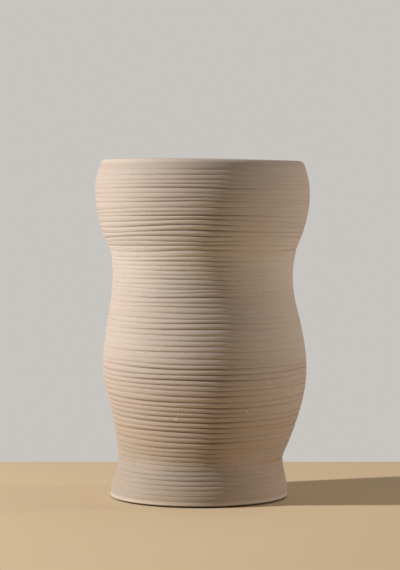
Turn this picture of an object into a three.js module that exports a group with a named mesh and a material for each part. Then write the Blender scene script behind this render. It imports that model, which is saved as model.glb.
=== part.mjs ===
// A tall stoneware vase with a full shoulder, a narrow waist, a round belly and a flared foot.
// It is built the way a potter builds one in sections: a slab for the floor, and three thrown walls
// stacked on it. Each seam is a groove in the lower piece and a tongue on the upper one, with joining
// slip between them. A coat of glaze lines the inside, so that it holds water.
// Millimetres, +Z up. The origin is on the surface it stands on, below the middle of the shoulder.
import * as THREE from "three";

// Driving dimensions.
const HEIGHT = 280; // table to the top of the lip
const FLOOR_TOP = 9; // upper face of the slab, where the foot wall starts
const FOOT_SEAM = 33; // narrowest part of the foot, where the belly starts
const SHOULDER_SEAM = 206; // small step at the top of the waist, where the shoulder starts
const LIP_RISE = 4.5; // height of the rounded lip
const BEVEL_RISE = 2.2; // undercut round the bottom edge of the slab
const BEVEL_RUN = 3.6;
const SEAM_LAND = 1.6; // clay pressed straight onto clay at each side of a seam
const GROOVE_DEPTH = 2.6;
const TONGUE_DEPTH = 1.8; // the difference from the groove is the slip
const GLAZE = 0.6; // thickness of the lining
const GLAZE_GAP = 0.05; // air between the lining and the clay behind it, so the solids don't overlap
const GLAZE_TOP = 266; // where the lining stops, below the lip
const SECTORS = 48; // flats round the wall
const LEVEL_STEP = 15; // greatest height between two rings of the wall

// The thrown form at each height: outer radius, wall thickness, and how far the wall has
// drifted sideways, along X, from a straight axis. Between stations it follows a smooth curve.
const STATIONS = [
  { height: 0, radius: 73.7, wall: 14.5, drift: -3.2 },
  { height: 9, radius: 73.3, wall: 13.4, drift: -2.7 },
  { height: 20, radius: 70.4, wall: 10.2, drift: -2.2 },
  { height: 33, radius: 68.1, wall: 8.0, drift: -1.6 },
  { height: 50, radius: 72.5, wall: 7.6, drift: 0.8 },
  { height: 72, radius: 78.6, wall: 7.4, drift: 2.6 },
  { height: 90, radius: 83.1, wall: 7.2, drift: 2.3 },
  { height: 108, radius: 84.9, wall: 7.0, drift: 1.7 },
  { height: 140, radius: 81.2, wall: 7.0, drift: 1.3 },
  { height: 168, radius: 76.1, wall: 6.9, drift: 0.3 },
  { height: 186, radius: 75.0, wall: 6.8, drift: 0.1 },
  { height: 206, radius: 77.5, wall: 6.8, drift: 0.6 },
  { height: 218, radius: 82.6, wall: 6.8, drift: 0.2 },
  { height: 234, radius: 86.9, wall: 6.7, drift: 0.3 },
  { height: 254, radius: 89.1, wall: 6.5, drift: 0 },
  { height: 270, radius: 86.9, wall: 6.3, drift: -0.2 },
  { height: 280, radius: 83.6, wall: 6.2, drift: -0.3 },
];
const FORM = new THREE.CubicInterpolant(
  STATIONS.map((s) => s.height),
  STATIONS.flatMap((s) => [s.radius, s.wall, s.drift]),
  3,
);

const outerRadius = (z) => FORM.evaluate(z)[0];
const wallThickness = (z) => FORM.evaluate(z)[1];
const driftAt = (z) => FORM.evaluate(z)[2];
const innerRadius = (z) => outerRadius(z) - wallThickness(z);

const clay = new THREE.MeshStandardMaterial({ color: 0xcdb8a3, roughness: 0.92 });
const footClay = new THREE.MeshStandardMaterial({ color: 0xc4ae9b, roughness: 0.92 });
const slip = new THREE.MeshStandardMaterial({ color: 0xb59c86, roughness: 0.95 });
const glaze = new THREE.MeshStandardMaterial({ color: 0xe2d8ca, roughness: 0.25 });

// Heights from one level up to another, evenly spaced, with both ends in.
function levels(from, to) {
  const steps = Math.ceil((to - from) / LEVEL_STEP);
  return Array.from({ length: steps + 1 }, (_, i) => from + ((to - from) * i) / steps);
}

const outerWall = (from, to) => levels(from, to).map((z) => new THREE.Vector2(outerRadius(z), z));
const innerWall = (from, to) => levels(from, to).map((z) => new THREE.Vector2(innerRadius(z), z));

// The part of a seam between its two lands, from the outside inwards, with its point below the seam.
function seamWedge(z, depth) {
  const outer = outerRadius(z) - SEAM_LAND;
  const inner = innerRadius(z) + SEAM_LAND;
  return [
    new THREE.Vector2(outer, z),
    new THREE.Vector2((outer + inner) / 2, z - depth),
    new THREE.Vector2(inner, z),
  ];
}

// The lip, from the outside over the top to the inside: half of an ellipse as wide as the wall.
function lip() {
  const z = HEIGHT - LIP_RISE;
  const half = wallThickness(z) / 2;
  const middle = outerRadius(z) - half;
  const over = new THREE.EllipseCurve(middle, z, half, LIP_RISE, 0, Math.PI);
  return over.getPoints(6);
}

// A profile of radius against height, turned round +Z and moved sideways by the drift at each height.
// A profile that doesn't start and end on the axis is closed onto its first point.
function turned(name, material, profile) {
  const onAxis = profile[0].x === 0;
  const outline = onAxis ? profile : [...profile, profile[0].clone()];
  const geometry = new THREE.LatheGeometry(outline, SECTORS).rotateX(Math.PI / 2);
  const position = geometry.getAttribute("position");
  for (let i = 0; i < position.count; i += 1) {
    position.setX(i, position.getX(i) + driftAt(position.getZ(i)));
  }
  geometry.computeVertexNormals();
  const mesh = new THREE.Mesh(geometry, material);
  mesh.name = name;
  return mesh;
}

// The floor: a slab with an undercut bottom edge, grooved round its top for the foot wall.
function baseSlab() {
  return turned("base_slab", footClay, [
    new THREE.Vector2(0, 0),
    new THREE.Vector2(outerRadius(0) - BEVEL_RUN, 0),
    new THREE.Vector2(outerRadius(0) - BEVEL_RUN / 4, BEVEL_RISE * 0.6),
    new THREE.Vector2(outerRadius(BEVEL_RISE), BEVEL_RISE),
    new THREE.Vector2(outerRadius(FLOOR_TOP), FLOOR_TOP),
    ...seamWedge(FLOOR_TOP, GROOVE_DEPTH),
    new THREE.Vector2(innerRadius(FLOOR_TOP), FLOOR_TOP),
    new THREE.Vector2(0, FLOOR_TOP),
  ]);
}

// A thrown wall between two seams: a tongue underneath, and a groove in its top edge.
function wallSection(name, material, bottom, top) {
  return turned(name, material, [
    ...outerWall(bottom, top),
    ...seamWedge(top, GROOVE_DEPTH),
    ...innerWall(bottom, top).reverse(),
    ...seamWedge(bottom, TONGUE_DEPTH).reverse(),
  ]);
}

// The shoulder: a tongue underneath, and the lip on top.
function shoulderSection() {
  const lipBottom = HEIGHT - LIP_RISE;
  return turned("shoulder_section", clay, [
    ...outerWall(SHOULDER_SEAM, lipBottom).slice(0, -1),
    ...lip(),
    ...innerWall(SHOULDER_SEAM, GLAZE_TOP).reverse(),
    ...seamWedge(SHOULDER_SEAM, TONGUE_DEPTH).reverse(),
  ]);
}

// The slip in a seam: what the groove holds above its point and the tongue leaves free.
function slipSeam(name, z) {
  const [outer, bottom, inner] = seamWedge(z, GROOVE_DEPTH);
  const tongueTip = seamWedge(z, TONGUE_DEPTH)[1];
  return turned(name, slip, [bottom, outer, tongueTip, inner]);
}

// The glaze: one coat over the floor and up the inside, on the same rings as the walls behind it.
function linerGlaze() {
  const wall = [
    ...innerWall(FLOOR_TOP, FOOT_SEAM),
    ...innerWall(FOOT_SEAM, SHOULDER_SEAM).slice(1),
    ...innerWall(SHOULDER_SEAM, GLAZE_TOP).slice(1),
  ];
  const back = wall.map((p) => new THREE.Vector2(p.x - GLAZE_GAP, p.y));
  const face = wall.map((p) => new THREE.Vector2(p.x - GLAZE_GAP - GLAZE, p.y));
  const under = FLOOR_TOP + GLAZE_GAP;
  back[0].y = under;
  face[0].y = under + GLAZE;
  return turned("liner_glaze", glaze, [
    new THREE.Vector2(0, under),
    ...back,
    ...face.reverse(),
    new THREE.Vector2(0, under + GLAZE),
  ]);
}

const vase = new THREE.Group();
vase.add(
  baseSlab(),
  slipSeam("slip_seam_base", FLOOR_TOP),
  wallSection("foot_section", footClay, FLOOR_TOP, FOOT_SEAM),
  slipSeam("slip_seam_foot", FOOT_SEAM),
  wallSection("belly_section", clay, FOOT_SEAM, SHOULDER_SEAM),
  slipSeam("slip_seam_shoulder", SHOULDER_SEAM),
  shoulderSection(),
  linerGlaze(),
);

export default vase;
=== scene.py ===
# %% [markdown]
# # A hand-thrown stoneware vase
#
# The vase is 280 mm tall, of sandy, unglazed stoneware, with a thin glaze inside so that it holds
# water. A potter threw it in sections: a slab for the floor, then a flared foot, a ribbed belly and
# a ribbed shoulder, joined with slip while the clay was leather-hard. Each section is one piece
# here, and it takes the place of its own plain solid in the fixed frame.

import math
import random

import bpy
import numpy as np
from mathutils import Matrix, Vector


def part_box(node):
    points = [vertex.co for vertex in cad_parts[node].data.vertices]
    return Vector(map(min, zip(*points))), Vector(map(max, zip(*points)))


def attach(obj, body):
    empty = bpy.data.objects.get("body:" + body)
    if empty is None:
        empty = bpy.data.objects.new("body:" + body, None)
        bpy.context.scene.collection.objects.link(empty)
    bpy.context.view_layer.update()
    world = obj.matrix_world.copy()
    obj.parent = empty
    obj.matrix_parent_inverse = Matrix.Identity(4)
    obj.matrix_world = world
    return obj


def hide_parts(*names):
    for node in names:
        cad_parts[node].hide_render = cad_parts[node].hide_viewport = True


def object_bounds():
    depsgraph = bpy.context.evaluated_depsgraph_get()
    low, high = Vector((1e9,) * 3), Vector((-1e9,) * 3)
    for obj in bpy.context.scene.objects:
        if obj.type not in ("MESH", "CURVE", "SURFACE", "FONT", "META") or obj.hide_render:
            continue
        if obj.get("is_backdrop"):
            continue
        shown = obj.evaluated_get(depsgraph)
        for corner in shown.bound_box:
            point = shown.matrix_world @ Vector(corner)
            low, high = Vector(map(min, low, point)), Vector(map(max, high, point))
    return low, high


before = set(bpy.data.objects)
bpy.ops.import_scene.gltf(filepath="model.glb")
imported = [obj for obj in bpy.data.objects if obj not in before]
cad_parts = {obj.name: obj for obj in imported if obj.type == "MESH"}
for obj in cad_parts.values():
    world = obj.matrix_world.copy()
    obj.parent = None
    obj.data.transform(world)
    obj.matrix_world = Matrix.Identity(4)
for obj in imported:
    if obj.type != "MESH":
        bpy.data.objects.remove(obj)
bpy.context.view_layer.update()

MM = 0.001
FLOOR_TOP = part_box("base_slab")[1].z
FOOT_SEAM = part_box("foot_section")[1].z
SHOULDER_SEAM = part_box("belly_section")[1].z
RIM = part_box("shoulder_section")[1].z
GLAZE_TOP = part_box("liner_glaze")[1].z
print(f"seams at {FLOOR_TOP:.3f}, {FOOT_SEAM:.3f} and {SHOULDER_SEAM:.3f} m, rim at {RIM:.3f} m")

# %% [markdown]
# ## The thrown form
#
# A wheel makes every section round, so the whole form is three numbers at each height: how far the
# wall is from its axis, how thick it is, and how far the axis has drifted sideways, because the pot
# leans a little. The solids in the frame have rings of points at a few heights, which give those
# numbers, and a smooth curve joins them. A curve through a few heights looks more like throwing
# than an outline with many points, which wobbles.

# %% Read the rings of the solids
def rings(node):
    """Height, radius and sideways drift of each level of points of a turned solid."""
    levels = {}
    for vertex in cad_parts[node].data.vertices:
        levels.setdefault(round(vertex.co.z, 6), []).append(vertex.co.x)
    return sorted((z, (max(xs) - min(xs)) / 2, (max(xs) + min(xs)) / 2) for z, xs in levels.items())


GLAZE_GAP = 0.05 * MM  # air between the lining and the clay behind it
LIP = RIM - 4.5 * MM  # where the rounded lip starts
LEAST_WALL = 4.5 * MM  # a ring that stands further out from the lining than this is on the outside

lining_rings = rings("liner_glaze")
glaze_face = lining_rings.pop(1)  # its floor has a lower and an upper level, then the wall starts
lining = np.array(lining_rings)
GLAZE = glaze_face[0] - lining[0, 0]


def smooth(z, heights, values):
    """A curve through the values, with its slope at each one taken from its neighbours."""
    slopes = np.gradient(values, heights)
    i = np.clip(np.searchsorted(heights, z, side="right") - 1, 0, len(heights) - 2)
    step = heights[i + 1] - heights[i]
    t = (z - heights[i]) / step
    rise = values[i + 1] - values[i]
    bend = (3 * rise - step * (2 * slopes[i] + slopes[i + 1])) * t**2
    twist = (step * (slopes[i] + slopes[i + 1]) - 2 * rise) * t**3
    return values[i] + step * slopes[i] * t + bend + twist


wall_rings = {max(rings("base_slab"), key=lambda ring: ring[1])}
for node in ("foot_section", "belly_section", "shoulder_section"):
    for ring in rings(node):
        backed_by = smooth(ring[0], lining[:, 0], lining[:, 1])
        outside = ring[0] > GLAZE_TOP + MM or ring[1] > backed_by + LEAST_WALL
        if FLOOR_TOP - GLAZE_GAP < ring[0] < LIP + GLAZE_GAP and outside:
            wall_rings.add(ring)
wall = np.array(sorted(wall_rings))
wall = wall[np.append(True, np.diff(wall[:, 0]) > MM)]
print(f"{len(wall)} rings outside and {len(lining)} inside")


# %% The form, as smooth curves through those rings
def outer_radius(z):
    return smooth(z, wall[:, 0], wall[:, 1])


def drift(z):
    return smooth(z, wall[:, 0], wall[:, 2])


lip_thickness = outer_radius(GLAZE_TOP) - lining[-1, 1] - GLAZE_GAP
inside_heights = np.append(lining[:, 0], LIP)
inside_radii = np.append(lining[:, 1] + GLAZE_GAP, outer_radius(LIP) - lip_thickness)


def inner_radius(z):
    return smooth(z, inside_heights, inside_radii)


up_the_belly = np.linspace(FOOT_SEAM, SHOULDER_SEAM, 99)
belly_width = 2 * outer_radius(up_the_belly).max()
print(f"belly {belly_width:.4f} m across, wall {lip_thickness:.4f} m at the lip")

# %% [markdown]
# ## Where the fingers went
#
# The ribs are the potter's own marks: as the wheel turns, the fingers climb the wall and leave
# a rounded ridge at each turn, with a sharp crease under it. No two are the same, so the creases
# are laid out like this: from one seam to the next they climb at the pitch of a finger, each step a
# little more or less than that, and the last one falls on the seam. About one in four is deeper
# than the rest. The draws are seeded, so the pot comes out the same each time.

# %% The height of each crease
SEED = 29
dice = random.Random(SEED)

# Height and pitch of the ribs there, in millimetres.
PITCH = ((0, 4.7), (33, 4.1), (60, 4.3), (110, 4.5), (145, 4.2), (200, 3.8), (280, 3.8))
UNEVEN = 0.2  # most that a rib is taller or shorter than the pitch, as a share of it


def read_off(curve, place):
    """The value of a curve of (place, value) pairs, with straight lines between them."""
    return np.interp(place, [pair[0] for pair in curve], [pair[1] for pair in curve])


def between(curve, z):
    """The value at a height in metres of a curve that has its heights in millimetres."""
    return read_off(curve, z / MM)


def climb(low, high):
    """Heights of the creases from low up to high, low included."""
    heights = [low]
    while heights[-1] < high:
        pitch = float(between(PITCH, heights[-1])) * MM
        heights.append(heights[-1] + pitch * dice.uniform(1 - UNEVEN, 1 + UNEVEN))
    stretch = (high - low) / (heights[-1] - low)
    return [low + (z - low) * stretch for z in heights[:-1]]


seams = (0, FLOOR_TOP, FOOT_SEAM, SHOULDER_SEAM, LIP)
creases = []
for low, high in zip(seams, seams[1:]):
    creases += climb(low, high)
creases = np.array(creases + [LIP, RIM])
print(f"{len(creases) - 2} creases, {np.diff(creases).mean() / MM:.1f} mm apart on average")

# %% [markdown]
# ## How the creases wander
#
# A crease isn't a level circle. The hand rises and falls as the pot turns, so the creases of the
# shoulder arch up at the front and back, and those of the belly sag there. Each one also wanders on
# its own, nears its neighbour and parts from it again. A sum of a few waves round the pot and up it
# gives that, and because each wave fits round the pot a whole number of times, there is no join at
# the back.

# %% Waves round the wall, and how they bend the creases
def waves(count, orders, lengths, height):
    """Random waves: (times round the pot, radians per metre up it, phase, height)."""
    return [
        (
            dice.randint(*orders),
            dice.choice((-1, 1)) * 2 * math.pi / (dice.uniform(*lengths) * MM),
            dice.uniform(0, 2 * math.pi),
            height * dice.uniform(0.6, 1.4) / math.sqrt(count),
        )
        for _ in range(count)
    ]


def add_up(some_waves, z, turn):
    return sum(h * np.cos(n * turn + k * z + p) for n, k, p, h in some_waves)


# How far the front and back of a ring stand above its sides: up at the shoulder, down at the belly.
SHOULDER_ARCH = 3.2 * MM
BELLY_SAG = 1.9 * MM
# How far a crease strays on its own, by height, in millimetres.
STRAY = ((0, 0.1), (33, 0.2), (60, 0.35), (130, 0.4), (170, 0.6), (240, 0.55), (262, 0.3), (275, 0))
# How deep the creases are at the front and back, by height, in millimetres.
DEPTH = (
    (0, 0.1), (8, 0.5), (30, 0.6), (34, 0.75), (44, 1.1), (56, 1.35), (80, 1.4), (115, 1.35),
    (136, 1.1), (152, 0.95), (200, 0.9), (213, 1.1), (235, 1.15), (262, 0.95), (272, 0.6),
    (276, 0.4), (279, 0), (280, 0),
)
# How deep they are at the sides, as a share of that.
AT_SIDES = ((0, 0.25), (50, 0.33), (105, 0.33), (130, 0.22), (200, 0.2), (215, 0.31), (280, 0.32))
# How much of the front's depth there is going round from the right (0) by the back (90) and the
# left (180) to the front (270): the hand pressed hardest a little to the left of the front.
ROUND_THE_POT = (
    (0, 0), (45, 0.5), (90, 1), (135, 0.5), (180, 0), (215, 0.1), (235, 0.5), (250, 0.95), (270, 1),
    (278, 0.8), (287, 0.28), (297, 0), (330, 0), (360, 0),
)
RIM_TILT = 0.7 * MM  # the rim is this much higher on the left than level
RIM_WARP = 0.4 * MM  # and it rises this much at the front left and at the back right
WARP_AT = math.radians(243)
STRONGEST = 1.6  # no crease is more than this much deeper than its neighbours
LEAST_RIB = 2.0 * MM  # creases come no nearer than this

stray_waves = waves(14, (1, 4), (9, 34), 1.0)
depth_waves = waves(16, (1, 5), (6, 15), 1.0)
swell_waves = waves(8, (2, 4), (50, 140), 0.25 * MM)

DEEP_SHARE = 0.28  # how many of the creases are deep ones
strengths = np.array([
    dice.uniform(1.2, 1.5) if dice.random() < DEEP_SHARE else dice.uniform(0.6, 1.1) for _ in creases
])


def hump(z, middle, reach):
    """A smooth hump that is 1 at its middle height and 0 from its reach on."""
    return np.cos(np.clip((z - middle) / reach, -1, 1) * math.pi / 2) ** 2


def arch_at(z):
    """How far the front of a ring stands above its sides."""
    shoulder_middle = SHOULDER_SEAM + (RIM - SHOULDER_SEAM) / 4
    belly_middle = (FOOT_SEAM + SHOULDER_SEAM) / 3
    up = hump(z, shoulder_middle, (RIM - SHOULDER_SEAM) * 0.6)
    down = hump(z, belly_middle, belly_middle)
    return SHOULDER_ARCH * up - BELLY_SAG * down


def crease_height(k, turn):
    """Height of crease k at an angle round the pot, before it is kept off its neighbours."""
    z = creases[k]
    arch = arch_at(z) * np.cos(2 * turn) / 2
    stray = between(STRAY, z) * MM * add_up(stray_waves, z, turn)
    return z - arch + stray


def rim_tilt(z, turn):
    lift = np.clip((z - SHOULDER_SEAM) / (RIM - SHOULDER_SEAM), 0, 1) ** 2
    return lift * (RIM_WARP * np.cos(2 * (turn - WARP_AT)) - RIM_TILT * np.cos(turn))


# %% [markdown]
# The heights and depths are worked out once, as a table with a row for each crease and a column for
# each of the columns of faces round the pot. Depths fade in and out along a crease, so that here
# and there two thin ribs run together into a wide one. The two seams bite deeper on the right,
# where the joint was pressed hardest.

# %% A table of heights and depths, crease by column
COLUMNS = 288
FADING = 0.28  # how much a crease's depth comes and goes along it, as a share
LEAST_FADING = 0.4
MOST_FADING = 1.5
turns = np.arange(COLUMNS) * 2 * math.pi / COLUMNS
all_creases = np.arange(len(creases))[:, None]

heights = crease_height(all_creases, turns[None, :])
room = LEAST_RIB * all_creases
heights = np.maximum.accumulate(heights - room, axis=0) + room

fading = 1 + FADING * add_up(depth_waves, creases[:, None], turns[None, :])
fading = np.clip(fading, LEAST_FADING, MOST_FADING)
frontness = read_off(ROUND_THE_POT, np.degrees(turns))[None, :]
at_sides = between(AT_SIDES, creases)[:, None]
pressure = at_sides + (1 - at_sides) * frontness
strokes = np.minimum(strengths[:, None] * fading, STRONGEST)
depths = between(DEPTH, creases)[:, None] * MM * strokes * pressure

SEAM_BITE = {FOOT_SEAM: 0.9 * MM, SHOULDER_SEAM: 1.0 * MM}  # depth on the right
for seam, bite in SEAM_BITE.items():
    row = int(np.argmin(abs(creases - seam)))
    on_right = np.clip(np.cos(turns), 0, 1) ** 6
    depths[row] = depths[row] * (1 - on_right) + bite * on_right
heights[0], heights[-1], heights[-2] = 0, RIM, LIP
depths[0], depths[-1] = 0, 0
narrowest = np.diff(heights, axis=0).min()
print(f"deepest crease {depths.max() / MM:.2f} mm, narrowest rib {narrowest / MM:.2f} mm")

# %% [markdown]
# ## Throwing a section
#
# Each section is made as a lathe would make it. A single point is drawn along the section's
# outline with extrude, the outline is spun round the axis, and the doubles where the spin closes
# are merged. Spinning gives a perfectly even wall, so the marks of the hand come after, by moving
# the points with the tables above: an operator can't press dozens of uneven creases.

# %% Draw an outline and spin it
def draw_outline(name, outline, closed):
    """A new object with its points along (radius, height) pairs, joined up by edges."""
    bpy.ops.object.select_all(action="DESELECT")
    bpy.ops.mesh.primitive_plane_add(size=MM)
    piece = bpy.context.object
    piece.name = name
    piece.data.name = name
    bpy.ops.object.mode_set(mode="EDIT")
    bpy.ops.mesh.select_all(action="SELECT")
    bpy.ops.mesh.merge(type="CENTER")
    bpy.ops.transform.translate(value=(outline[0][0], 0, outline[0][1]))
    ends = outline + outline[:1] if closed else outline
    for here, there in zip(ends, ends[1:]):
        step = (there[0] - here[0], 0, there[1] - here[1])
        bpy.ops.mesh.extrude_region_move(TRANSFORM_OT_translate={"value": step})
    return piece


def spin(piece, columns):
    """Turns the outline round the axis, closes it and makes its faces look outwards."""
    bpy.ops.mesh.select_all(action="SELECT")
    bpy.ops.mesh.spin(steps=columns, angle=2 * math.pi, center=(0, 0, 0), axis=(0, 0, 1))
    bpy.ops.mesh.select_all(action="SELECT")
    bpy.ops.mesh.remove_doubles(threshold=0.002 * MM)
    bpy.ops.mesh.normals_make_consistent(inside=False)
    bpy.ops.object.mode_set(mode="OBJECT")


def read_points(piece):
    """Radius, turn and height of each point."""
    flat = np.empty(3 * len(piece.data.vertices))
    piece.data.vertices.foreach_get("co", flat)
    x, y, z = flat.reshape(-1, 3).T
    return np.hypot(x, y), np.arctan2(y, x) % (2 * math.pi), z


def write_points(piece, radius, turn, z, sideways):
    """Puts the points back, with the drift of the axis added."""
    places = np.stack([radius * np.cos(turn) + sideways, radius * np.sin(turn), z], axis=1)
    piece.data.vertices.foreach_set("co", places.ravel())
    piece.data.update()


def keep_value(piece, name, values):
    """Stores one number for each point, for the materials to read."""
    attribute = piece.data.attributes.new(name, "FLOAT", "POINT")
    attribute.data.foreach_set("value", values)


# %% [markdown]
# A rib between two creases is a rounded bead, widest close to its middle, and it turns in to the
# crease above and the crease below. At the bottom of each crease is a narrow notch. The rows of the
# outline are closest near the creases, where the surface bends most.

# %% Press the ribs into a wall
NOTCH = 0.4  # how much deeper the narrow line at the bottom of a crease is, as a share
CREST = 0.52  # how far up a rib its widest line is
ROWS = (0, 0.09, 0.3, 0.54, 0.78, 0.93)  # where a rib has its points, from crease to crease
DARKEST = 1.6 * MM  # a crease this deep gets the most slurry colour and painted shade
ROUND = 2.0  # how a rib turns in from its crest to a crease: 2 would be a circle's curve


def rib_rows(low, high):
    """Heights of the outline's points from one seam up to another, both included."""
    rows = []
    for bottom, top in zip(creases, creases[1:]):
        if low - MM / 10 < bottom and top < high + MM / 10:
            rows += [bottom + (top - bottom) * part for part in ROWS]
    return rows + [high]


def press_ribs(z, turn):
    """New heights, how deep the wall is pressed there, and how near a crease it is, from 0 to 1."""
    place = np.interp(z, creases, np.arange(len(creases)))
    below = np.minimum(place.astype(int), len(creases) - 2)
    part = place - below
    column = np.rint(turn / (2 * math.pi) * COLUMNS).astype(int) % COLUMNS
    low, high = heights[below, column], heights[below + 1, column]
    under = depths[below, column] * np.clip((CREST - part) / CREST, 0, 1) ** ROUND
    over = depths[below + 1, column] * np.clip((part - CREST) / (1 - CREST), 0, 1) ** ROUND
    nearness = np.maximum(
        depths[below, column] * (1 - part) ** 9,
        depths[below + 1, column] * part**9,
    )
    notch = NOTCH * np.maximum(
        depths[below, column] * np.clip(1 - part / ROWS[1], 0, 1),
        depths[below + 1, column] * np.clip(1 - (1 - part) / (1 - ROWS[-1]), 0, 1),
    )
    pressed = under + over + notch
    return low + (high - low) * part, pressed, np.clip(nearness / DARKEST, 0, 1)


# %% [markdown]
# The inside keeps the fingers' spiral: one long shallow groove that climbs the wall. Both the clay
# and the glaze over it follow that groove, so the glaze stays an even coat.

# %% The spiral inside
SPIRAL_PITCH = 12 * MM
SPIRAL_DEPTH = 0.35 * MM
SPIRAL_ROW = 3 * MM


def spiral(z, turn):
    """How far the inside stands off its smooth form."""
    fade = np.clip((z - FLOOR_TOP) / (8 * MM), 0, 1) * np.clip((RIM - z) / (14 * MM), 0, 1)
    return SPIRAL_DEPTH * fade * np.sin(2 * math.pi * z / SPIRAL_PITCH - turn)


def even_rows(low, high, step):
    """Heights from low to high, evenly spaced, both included."""
    return list(np.linspace(low, high, math.ceil((high - low) / step) + 1))


# %% [markdown]
# ## The seams
#
# A seam is a groove in the lower piece and a tongue on the upper one, with flat lands at both
# sides where clay meets clay, and joining slip between tongue and groove. They are as in the
# frame, so the slip rings of the frame stay where they are, inside the wall.

# %% Points of a seam
SEAM_LAND = outer_radius(FOOT_SEAM) - rings("slip_seam_foot")[-1][1]
GROOVE_DEPTH = FOOT_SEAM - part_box("slip_seam_foot")[0].z
TONGUE_DEPTH = FOOT_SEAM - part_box("belly_section")[0].z
print(f"groove {GROOVE_DEPTH:.4f} m deep, tongue {TONGUE_DEPTH:.4f} m, lands {SEAM_LAND:.4f} m wide")


def seam_points(z, depth):
    """From the outside inwards: land, point of the wedge, land."""
    outer = float(outer_radius(z) - SEAM_LAND)
    inner = float(inner_radius(z) + SEAM_LAND)
    return [(outer, z), ((outer + inner) / 2, z - depth), (inner, z)]


# %% [markdown]
# ## Finishing a section
#
# After the spin, the points of the outer face are pressed into ribs, the points of the inner face
# take the spiral, and everything follows the lean of the axis. The wall also swells and flattens
# a little as it goes round, because a hand-thrown pot is never quite round.

# %% Give a spun section its marks
NEAR = 0.2 * MM


def mark_section(piece):
    radius, turn, z = read_points(piece)
    sideways = drift(z)
    outside = (abs(radius - outer_radius(z)) < NEAR) | (z > LIP + NEAR)
    inside = (abs(radius - inner_radius(z)) < NEAR) & ~outside

    high, pressed, nearness = press_ribs(z, turn)
    half = (outer_radius(z) - inner_radius(z)) / 2
    facing = np.clip((radius - outer_radius(z) + half) / half, 0, 1)
    moved = radius + outer_radius(high) - outer_radius(z) - facing * pressed
    radius = np.where(outside, moved, radius)
    new_z = np.where(outside, high, z)
    radius = np.where(inside, radius + spiral(z, turn), radius)
    radius = radius + np.where(outside, add_up(swell_waves, z, turn), 0)

    new_z = new_z + np.where(z > SHOULDER_SEAM + NEAR, rim_tilt(z, turn), 0)
    write_points(piece, radius, turn, new_z, sideways)
    keep_value(piece, "crease", np.where(outside, nearness, 0))
    return piece


def smooth_shading(piece):
    bpy.ops.object.select_all(action="DESELECT")
    piece.select_set(True)
    bpy.context.view_layer.objects.active = piece
    bpy.ops.object.shade_smooth_by_angle(angle=math.radians(48))


# %% [markdown]
# ## The floor slab
#
# It stands on a flat underside. The bottom edge is cut back underneath, which lifts the pot
# visually off the table with a thin dark line.

# %% Make the floor slab
BEVEL_RISE = wall[0, 0]
BEVEL_RUN = outer_radius(0.0) - rings("base_slab")[0][1]
UNDERSIDE_ROW = 5 * MM


def make_base_slab():
    edge = float(outer_radius(0.0) - BEVEL_RUN)
    underside = [(r, 0.0) for r in even_rows(0, edge, UNDERSIDE_ROW)]
    undercut = [
        (edge + BEVEL_RUN * 0.35, BEVEL_RISE * 0.22),
        (edge + BEVEL_RUN * 0.75, BEVEL_RISE * 0.55),
    ]
    rows = [z for z in rib_rows(0, FLOOR_TOP) if z > BEVEL_RISE * 1.05]
    side = [(float(outer_radius(z)), z) for z in [BEVEL_RISE] + rows]
    top = [(float(inner_radius(FLOOR_TOP)), FLOOR_TOP)]
    floor = [(r, FLOOR_TOP) for r in even_rows(0, top[0][0], 2 * UNDERSIDE_ROW)][-2::-1]
    outline = underside + undercut + side + seam_points(FLOOR_TOP, GROOVE_DEPTH) + top + floor
    piece = draw_outline("vase_floor_slab", outline, closed=False)
    spin(piece, COLUMNS)
    return mark_section(piece)


# %% [markdown]
# ## The walls
#
# The foot and the belly are both a wall between two seams. The shoulder ends in the lip, a rounded
# edge as wide as the wall, which the potter compressed with a strip of wet leather.

# %% Make the three walls
def make_wall(name, low, high):
    outside = [(float(outer_radius(z)), z) for z in rib_rows(low, high)]
    inside = [(float(inner_radius(z)), z) for z in even_rows(low, high, SPIRAL_ROW)][::-1]
    groove = seam_points(high, GROOVE_DEPTH)
    tongue = seam_points(low, TONGUE_DEPTH)[::-1]
    piece = draw_outline(name, outside + groove + inside + tongue, closed=True)
    spin(piece, COLUMNS)
    return mark_section(piece)


LIP_LEAN = 1.5 * MM  # how far inwards the highest line of the lip lies


def lip_points(count=14):
    """Half of an ellipse as wide as the wall, from the outside over the top to the inside."""
    half = float(lip_thickness) / 2
    middle = float(outer_radius(LIP)) - half
    angles = [math.pi * i / count for i in range(1, count + 1)]
    return [
        (middle + half * math.cos(a) - LIP_LEAN * math.sin(a), LIP + (RIM - LIP) * math.sin(a))
        for a in angles
    ]


def make_shoulder():
    outside = [(float(outer_radius(z)), z) for z in rib_rows(SHOULDER_SEAM, LIP)]
    inside = [(float(inner_radius(z)), z) for z in even_rows(SHOULDER_SEAM, LIP, SPIRAL_ROW)]
    tongue = seam_points(SHOULDER_SEAM, TONGUE_DEPTH)[::-1]
    outline = outside + lip_points() + inside[-2::-1] + tongue
    piece = draw_outline("vase_shoulder", outline, closed=True)
    spin(piece, COLUMNS)
    return mark_section(piece)


# %% [markdown]
# ## The glaze inside
#
# The glaze was poured in and out again, so it is one thin skin over the floor and the wall. It
# is thickest in the corner, where it ran together, and it ends below the lip in a soft rolled edge.

# %% Make the lining
POOL = 5 * MM  # radius of the corner between floor and wall
GLAZE_COLUMNS = 192


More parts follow.
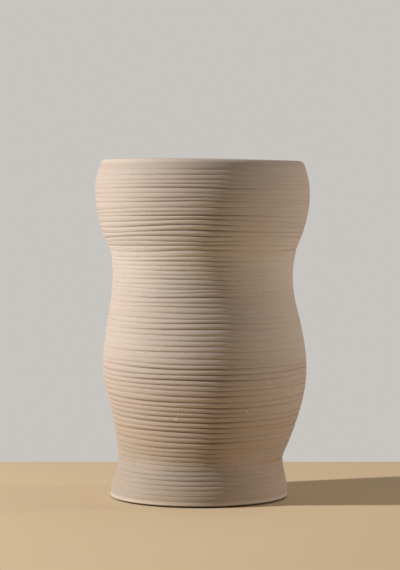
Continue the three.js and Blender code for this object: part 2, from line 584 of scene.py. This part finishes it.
def make_lining():
    under = FLOOR_TOP + GLAZE_GAP
    face = under + GLAZE
    back = [(float(inner_radius(z)) - GLAZE_GAP, z) for z in even_rows(under, GLAZE_TOP, SPIRAL_ROW)]
    front = [
        (float(inner_radius(z)) - GLAZE_GAP - GLAZE, z)
        for z in even_rows(face + POOL, GLAZE_TOP - GLAZE, SPIRAL_ROW)
    ][::-1]
    top = [(float(inner_radius(GLAZE_TOP)) - GLAZE_GAP - GLAZE * 0.55, GLAZE_TOP - GLAZE * 0.15)]
    corner = front[-1][0] - POOL
    pool = [
        (corner + POOL * math.cos(a), face + POOL * (1 - math.sin(a)))
        for a in [math.radians(15 * i) for i in range(1, 7)]
    ]
    floor = [(r, face) for r in even_rows(0, corner, SPIRAL_ROW)][-2::-1]
    outline = [(0.0, under)] + back + top + front + pool + floor
    piece = draw_outline("vase_lining", outline, closed=False)
    spin(piece, GLAZE_COLUMNS)
    radius, turn, z = read_points(piece)
    sideways = drift(z)
    on_wall = radius > corner * 0.95
    on_floor = (radius < corner) & (z > under + GLAZE / 2)
    groove = 0.25 * MM * np.sin(2 * math.pi * radius / SPIRAL_PITCH - turn)
    groove = groove * np.clip(radius / SPIRAL_PITCH, 0, 1) * np.clip((corner - radius) / POOL, 0, 1)
    lifted = z + np.where(on_floor, groove, 0)
    lifted = lifted + np.where(z > SHOULDER_SEAM + NEAR, rim_tilt(z, turn), 0)
    radius = radius + np.where(on_wall, spiral(z, turn), 0)
    write_points(piece, radius, turn, lifted, sideways)
    return piece


# %% Build all five pieces
pieces = {
    "base_slab": make_base_slab(),
    "foot_section": make_wall("vase_foot", FLOOR_TOP, FOOT_SEAM),
    "belly_section": make_wall("vase_belly", FOOT_SEAM, SHOULDER_SEAM),
    "shoulder_section": make_shoulder(),
    "liner_glaze": make_lining(),
}
for node, piece in pieces.items():
    smooth_shading(piece)
    triangles = sum(len(face.vertices) - 2 for face in piece.data.polygons)
    print(f"{piece.name} for {node}: {triangles} triangles")

# %% [markdown]
# ## Bare stoneware
#
# Fired stoneware is matt, with fine sand (grog) in it. Its colour runs from cream at the waist,
# where a paler band is painted light for the wall that tilts down there, through a warmer tan at the
# belly to a browner foot, with thin cool and rusty bands low down where it was wiped with a sponge.
# The creases are painted browner and darker, partly for iron-rich slurry and partly as painted shade,
# the lip and the bottom edge are worn pale, the pits are painted dark as shade, and the undercut below
# is painted near black as shade. The patches, bands and sand are noise on the piece's own
# coordinates, so they stay on the clay from whichever side it is seen.

# %% Helpers for materials
def new_material(name):
    material = bpy.data.materials.new(name)
    material.use_nodes = True
    nodes = material.node_tree.nodes
    return material, nodes, material.node_tree.links, nodes["Principled BSDF"]


def add_noise(nodes, links, source, scale, detail=2.0, roughness=0.5):
    noise = nodes.new("ShaderNodeTexNoise")
    noise.inputs["Scale"].default_value = scale
    noise.inputs["Detail"].default_value = detail
    noise.inputs["Roughness"].default_value = roughness
    links.new(source, noise.inputs["Vector"])
    return noise.outputs["Fac"]


def add_ramp(nodes, links, source, stops):
    """A colour ramp through (position, colour) stops, where a colour may be one grey."""
    ramp = nodes.new("ShaderNodeValToRGB")
    elements = ramp.color_ramp.elements
    while len(elements) < len(stops):
        elements.new(1.0)
    for element, (position, colour) in zip(elements, stops):
        element.position = position
        shade = (colour,) * 3 if isinstance(colour, (int, float)) else colour
        element.color = (*shade, 1)
    links.new(source, ramp.inputs["Fac"])
    return ramp.outputs["Color"]


def add_mix(nodes, links, kind, amount, first, second):
    """Mixes two colours. Amount and second may be a socket or a plain value."""
    mix = nodes.new("ShaderNodeMix")
    mix.data_type = "RGBA"
    mix.blend_type = kind
    for name, value in (("Factor", amount), ("A", first), ("B", second)):
        kinds = "VALUE" if name == "Factor" else "RGBA"
        socket = [s for s in mix.inputs if s.name == name and s.type == kinds][0]
        if isinstance(value, bpy.types.NodeSocket):
            links.new(value, socket)
        elif name == "Factor":
            socket.default_value = value
        else:
            socket.default_value = (*value, 1)
    return [s for s in mix.outputs if s.type == "RGBA"][0]


def add_maths(nodes, links, kind, first, second):
    maths = nodes.new("ShaderNodeMath")
    maths.operation = kind
    for socket, value in zip(maths.inputs, (first, second)):
        if isinstance(value, bpy.types.NodeSocket):
            links.new(value, socket)
        else:
            socket.default_value = value
    return maths.outputs["Value"]


def add_bump(nodes, links, height, distance, strength, below=None):
    bump = nodes.new("ShaderNodeBump")
    bump.inputs["Distance"].default_value = distance
    bump.inputs["Strength"].default_value = strength
    links.new(height, bump.inputs["Height"])
    if below is not None:
        links.new(below, bump.inputs["Normal"])
    return bump.outputs["Normal"]


def stretched(nodes, links, source, scale):
    """The coordinates stretched, for streaks that run round the pot."""
    mapping = nodes.new("ShaderNodeMapping")
    mapping.inputs["Scale"].default_value = scale
    links.new(source, mapping.inputs["Vector"])
    return mapping.outputs["Vector"]


# %% [markdown]
# ### Flaws
#
# A few grains of grog were dragged along the creases and left crumbs, and some burnt out and left
# a pit. They are too small and sharp for the mesh, so each one is a spot in the material, and the
# dice scatter them over the belly.

# %% Where the flaws are
grog = random.Random(SEED)
FLAW_COUNT = 14
flaws = []
for _ in range(FLAW_COUNT):
    azimuth = grog.uniform(-180, 180)
    height = grog.uniform(FOOT_SEAM, (FOOT_SEAM + SHOULDER_SEAM) * 0.6)
    size = grog.uniform(0.9, 1.5) * MM
    lift = grog.choice((0.4, 0.4, 0.4, -0.5)) * MM  # a crumb stands out, and a pit goes in
    flaws.append((azimuth, height, size, lift))


def on_the_wall(azimuth, z):
    """A point of the thrown form, from its direction and height."""
    a = math.radians(azimuth)
    r = float(outer_radius(z))
    return (-r * math.sin(a) + float(drift(z)), -r * math.cos(a), z)


print(len(flaws), "flaws")

# %% The colours of the clay
# Colour at each height, as a share of the height of the rim.
CLAY_BY_HEIGHT = (
    (0.0, (0.40, 0.33, 0.265)),
    (0.10, (0.385, 0.315, 0.255)),
    (0.16, (0.40, 0.32, 0.25)),
    (0.28, (0.45, 0.362, 0.295)),
    (0.46, (0.50, 0.43, 0.373)),
    (0.62, (0.515, 0.45, 0.39)),
    # Painted light: this paler stop lifts the waist, where the wall tilts down, away from the key
    # lamp.
    (0.71, (0.55, 0.482, 0.42)),
    (0.80, (0.515, 0.45, 0.39)),
    (0.965, (0.495, 0.427, 0.37)),
    (0.995, (0.43, 0.37, 0.315)),
)
BLUSH = (0.52, 0.40, 0.33)
# The crease colour is partly iron-rich slurry and partly painted shade.
SLURRY_AND_CREASE_SHADE = (0.26, 0.165, 0.105)
WIPED = (0.37, 0.33, 0.295)
RUSTY = (0.40, 0.28, 0.18)
WORN = (0.62, 0.54, 0.46)
# The colour of the painted shade in the undercut under the bottom edge.
UNDERCUT_SHADE = (0.04, 0.028, 0.02)
# The dark inside a pit is painted shade.
PIT_SHADE = (0.20, 0.13, 0.09)
SAND_SCALE = 1250  # about this many grains of sand to a metre
SLURRY_AND_SHADE_SHARE = 0.30  # how much of a crease's colour is slurry stain and painted shade at its deepest
print(len(CLAY_BY_HEIGHT), "colours up the wall")


# %% The bare clay
def make_stoneware(name):
    material, nodes, links, shader = new_material(name)
    place = nodes.new("ShaderNodeTexCoord").outputs["Object"]
    separate = nodes.new("ShaderNodeSeparateXYZ")
    links.new(place, separate.inputs["Vector"])
    up = add_maths(nodes, links, "DIVIDE", separate.outputs["Z"], RIM)
    patches = add_noise(nodes, links, place, 14, detail=3)
    wander = add_maths(nodes, links, "MULTIPLY_ADD", patches, 0.06)
    wander.node.inputs[2].default_value = -0.03
    level = add_maths(nodes, links, "ADD", up, wander)
    colour = add_ramp(nodes, links, level, CLAY_BY_HEIGHT)

    clouds = add_noise(nodes, links, place, 22, detail=2)
    blush = add_ramp(nodes, links, clouds, ((0.52, 0.0), (0.72, 0.3)))
    colour = add_mix(nodes, links, "MIX", blush, colour, BLUSH)

    low_down = add_ramp(nodes, links, up, ((0.17, 0.45), (0.30, 0.12)))
    bands = add_noise(nodes, links, stretched(nodes, links, place, (9, 9, 210)), 1, detail=3)
    cool_bands = add_ramp(nodes, links, bands, ((0.52, 0), (0.66, 1)))
    warm_bands = add_ramp(nodes, links, bands, ((0.34, 1), (0.48, 0)))
    cool = add_maths(nodes, links, "MULTIPLY", low_down, cool_bands)
    warm = add_maths(nodes, links, "MULTIPLY", low_down, warm_bands)
    colour = add_mix(nodes, links, "MIX", cool, colour, WIPED)
    colour = add_mix(nodes, links, "MIX", warm, colour, RUSTY)

    worn = add_ramp(nodes, links, up, ((0.007, 0.8), (0.02, 0.0), (0.985, 0.0), (0.997, 0.7)))
    colour = add_mix(nodes, links, "MIX", worn, colour, WORN)
    # Painted shade: the undercut below the bottom edge is painted near black, for the shade under the
    # pot.
    undercut_shade_mask = add_ramp(nodes, links, up, ((0.0045, 1.0), (0.0075, 0.0)))
    colour = add_mix(nodes, links, "MIX", undercut_shade_mask, colour, UNDERCUT_SHADE)

    flaw_bump = None
    for azimuth, height, size, lift in flaws:
        around = nodes.new("ShaderNodeVectorMath")
        around.operation = "DISTANCE"
        links.new(place, around.inputs[0])
        around.inputs[1].default_value = on_the_wall(azimuth, height)
        nearby = add_maths(nodes, links, "DIVIDE", around.outputs["Value"], size)
        spot = add_ramp(nodes, links, nearby, ((0.35, 1.0), (1.0, 0.0)))
        # Painted shade: a pit is painted dark for the shade inside it, and a crumb takes the pale worn
        # colour.
        colour = add_mix(nodes, links, "MIX", spot, colour, WORN if lift > 0 else PIT_SHADE)
        flaw_bump = add_bump(nodes, links, spot, lift, 1.0, flaw_bump)

    streaks = add_noise(nodes, links, stretched(nodes, links, place, (30, 30, 900)), 1, detail=2)
    streak_tone = add_ramp(nodes, links, streaks, ((0.3, 0.97), (0.7, 1.02)))
    colour = add_mix(nodes, links, "MULTIPLY", 1.0, colour, streak_tone)

    sand = add_noise(nodes, links, place, SAND_SCALE, detail=2, roughness=0.7)
    sand_tone = add_ramp(nodes, links, sand, ((0.32, 0.86), (0.5, 1.0), (0.7, 1.1)))
    colour = add_mix(nodes, links, "MULTIPLY", 1.0, colour, sand_tone)

    # Painted shade with a slurry stain: each crease is darkened and browned by its depth, partly for
    # the slurry in it and partly for the shade that falls in it.
    crease = nodes.new("ShaderNodeAttribute")
    crease.attribute_name = "crease"
    slurry_and_shade = add_maths(nodes, links, "MULTIPLY", crease.outputs["Fac"], SLURRY_AND_SHADE_SHARE)
    colour = add_mix(nodes, links, "MIX", slurry_and_shade, colour, SLURRY_AND_CREASE_SHADE)
    links.new(colour, shader.inputs["Base Color"])

    rough = add_ramp(nodes, links, sand, ((0.3, 0.97), (0.75, 0.84)))
    links.new(rough, shader.inputs["Roughness"])
    shader.inputs["Specular IOR Level"].default_value = 0.3

    grains = add_bump(nodes, links, sand, 0.12 * MM, 0.6, flaw_bump)
    clods = add_noise(nodes, links, place, 420, detail=3)
    pores = add_bump(nodes, links, clods, 0.2 * MM, 0.4, grains)
    links.new(add_bump(nodes, links, streaks, 0.12 * MM, 0.5, pores), shader.inputs["Normal"])
    return material


stoneware = make_stoneware("bare_stoneware")
foot_stoneware = make_stoneware("wiped_stoneware")
print("made", stoneware.name, "and", foot_stoneware.name)

# %% [markdown]
# ## Glaze and slip
#
# The lining is a thin satin glaze. It runs from tan, where it is thin, to milky, where it is thick,
# in soft streaks round the pot with a few dark pits. The slip in the seams is the same clay without
# its sand, so it is finer and a little darker.

# %% The lining glaze and the joining slip
def make_glaze(name):
    material, nodes, links, shader = new_material(name)
    place = nodes.new("ShaderNodeTexCoord").outputs["Object"]
    milk = add_noise(nodes, links, place, 45, detail=4)
    colour = add_ramp(nodes, links, milk, ((0.3, (0.50, 0.43, 0.34)), (0.7, (0.66, 0.60, 0.51))))
    streaks = add_noise(nodes, links, stretched(nodes, links, place, (40, 40, 260)), 1, detail=2)
    tone = add_ramp(nodes, links, streaks, ((0.3, 0.86), (0.7, 1.05)))
    colour = add_mix(nodes, links, "MULTIPLY", 1.0, colour, tone)
    pits = nodes.new("ShaderNodeTexVoronoi")
    pits.inputs["Scale"].default_value = 260
    links.new(place, pits.inputs["Vector"])
    specks = add_ramp(nodes, links, pits.outputs["Distance"], ((0.06, 0.55), (0.14, 1.0)))
    colour = add_mix(nodes, links, "MULTIPLY", 1.0, colour, specks)
    links.new(colour, shader.inputs["Base Color"])
    rough = add_ramp(nodes, links, milk, ((0.3, 0.34), (0.7, 0.2)))
    links.new(rough, shader.inputs["Roughness"])
    ripple = add_noise(nodes, links, place, 160, detail=2)
    links.new(add_bump(nodes, links, ripple, 0.3 * MM, 0.35), shader.inputs["Normal"])
    return material


def make_slip(name):
    material, nodes, links, shader = new_material(name)
    place = nodes.new("ShaderNodeTexCoord").outputs["Object"]
    grain = add_noise(nodes, links, place, 900, detail=3)
    colour = add_ramp(nodes, links, grain, ((0.3, (0.34, 0.25, 0.18)), (0.7, (0.44, 0.33, 0.25))))
    links.new(colour, shader.inputs["Base Color"])
    shader.inputs["Roughness"].default_value = 0.92
    links.new(add_bump(nodes, links, grain, 0.1 * MM, 0.5), shader.inputs["Normal"])
    return material


lining_glaze = make_glaze("satin_lining_glaze")
joining_slip = make_slip("joining_slip")
print("made", lining_glaze.name, "and", joining_slip.name)

# %% Give each piece its finish, hang it on the root and hide the solid it replaces
FINISHES = {
    "base_slab": (foot_stoneware, "foot_stoneware"),
    "foot_section": (foot_stoneware, "foot_stoneware"),
    "belly_section": (stoneware, "stoneware"),
    "shoulder_section": (stoneware, "stoneware"),
    "liner_glaze": (lining_glaze, "liner_glaze"),
}
for node, piece in pieces.items():
    material, slot = FINISHES[node]
    piece.data.materials.append(material)
    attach(piece, "root")
    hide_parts(node)
for node in ("slip_seam_base", "slip_seam_foot", "slip_seam_shoulder"):
    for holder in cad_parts[node].material_slots:
        holder.material = joining_slip
print("finished", ", ".join(piece.name for piece in pieces.values()))

# %% [markdown]
# ## The studio
#
# The vase stands near the back edge of a plain pale table top. A small lamp on the left, a little
# in front and above, rakes across the ribs and shows them best near the middle of the pot, where
# the light only grazes the wall. A weak lamp nearer the camera softens the left side, a warm one on
# the right lifts the shaded side, and a wide one above and behind lights the lip and the inside. The
# backdrop that the camera sees is paler than the light that the room sends back, as in a large studio.

# %% The table top
BACK_EDGE = 0.232
TABLE_SIZE = 2.0
TABLE_THICKNESS = 0.03
TABLE_COLOUR = (0.70, 0.54, 0.34, 1)


def make_table_top():
    bpy.ops.object.select_all(action="DESELECT")
    middle = (0, BACK_EDGE - TABLE_SIZE / 2, 0)
    bpy.ops.mesh.primitive_plane_add(size=TABLE_SIZE, location=middle)
    table = bpy.context.object
    table.name = "table_top"
    bpy.ops.object.mode_set(mode="EDIT")
    bpy.ops.mesh.select_all(action="SELECT")
    down = (0, 0, -TABLE_THICKNESS)
    bpy.ops.mesh.extrude_region_move(TRANSFORM_OT_translate={"value": down})
    bpy.ops.mesh.select_all(action="SELECT")
    bpy.ops.mesh.normals_make_consistent(inside=False)
    bpy.ops.object.mode_set(mode="OBJECT")
    material, _, _, shader = new_material("pale_table_top")
    shader.inputs["Base Color"].default_value = TABLE_COLOUR
    shader.inputs["Roughness"].default_value = 0.75
    table.data.materials.append(material)
    return table


table_top = make_table_top()
table_top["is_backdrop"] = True
print("table top", TABLE_SIZE, "m square, its back edge", BACK_EDGE, "m behind the vase")

# %% The lamps
MIDDLE = Vector((0, 0, RIM / 2))


def add_lamp(name, azimuth, elevation, distance, size, watts, colour):
    """A square lamp aimed at the pot. Azimuth 0 is in front and 90 on the left."""
    a, e = math.radians(azimuth), math.radians(elevation)
    way = Vector((-math.sin(a) * math.cos(e), -math.cos(a) * math.cos(e), math.sin(e)))
    bpy.ops.object.light_add(type="AREA", location=MIDDLE + way * distance)
    lamp = bpy.context.object
    lamp.name = name
    lamp.rotation_euler = (-way).to_track_quat("-Z", "Y").to_euler()
    lamp.data.size = size
    lamp.data.energy = watts
    lamp.data.color = colour
    return lamp


# Name, azimuth and elevation in degrees, distance and size in metres, watts, colour.
LAMPS = (
    ("key", 79, 24, 2.6, 0.13, 81, (1, 0.985, 0.97)),
    ("window", 50, 8, 2.4, 0.6, 2.2, (1, 0.95, 0.90)),
    ("fill", -96, 5, 2.4, 0.6, 26, (1, 0.89, 0.79)),
    ("overhead", -130, 72, 2.4, 1.8, 9, (1, 0.93, 0.85)),
)
for lamp_values in LAMPS:
    add_lamp(*lamp_values)
print(len(LAMPS), "lamps")

# %% The backdrop and the light of the room
BACKDROP = (0.578, 0.558, 0.527, 1)
ROOM_LIGHT = (0.140, 0.128, 0.120, 1)
sky = bpy.data.worlds.new("pale_backdrop")
bpy.context.scene.world = sky
sky.use_nodes = True
sky_nodes, sky_links = sky.node_tree.nodes, sky.node_tree.links
seen = sky_nodes["Background"]
seen.inputs["Color"].default_value = BACKDROP
room_light = sky_nodes.new("ShaderNodeBackground")
room_light.inputs["Color"].default_value = ROOM_LIGHT
which_ray = sky_nodes.new("ShaderNodeLightPath")
either = sky_nodes.new("ShaderNodeMixShader")
sky_links.new(which_ray.outputs["Is Camera Ray"], either.inputs["Fac"])
sky_links.new(room_light.outputs["Background"], either.inputs[1])
sky_links.new(seen.outputs["Background"], either.inputs[2])
sky_links.new(either.outputs["Shader"], sky_nodes["World Output"].inputs["Surface"])
bpy.context.scene.view_settings.view_transform = "Standard"
print("backdrop", BACKDROP[:3], "and room light", ROOM_LIGHT[:3])

# %% The camera
EYE = Vector((-2.1 * MM, -1.86, 0.258))
LOOK_DOWN = math.radians(2.52)
LENS = 141.5
bpy.ops.object.camera_add(location=EYE, rotation=(math.pi / 2 - LOOK_DOWN, 0, 0))
camera = bpy.context.object
camera.data.sensor_width = 36
camera.data.lens = LENS
bpy.context.scene.camera = camera
print("camera", round(EYE.length, 3), "m from the foot of the vase")

# %% Measure the finished vase
low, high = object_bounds()
print("this box", [round(v / MM, 1) for v in (*low, *high)])
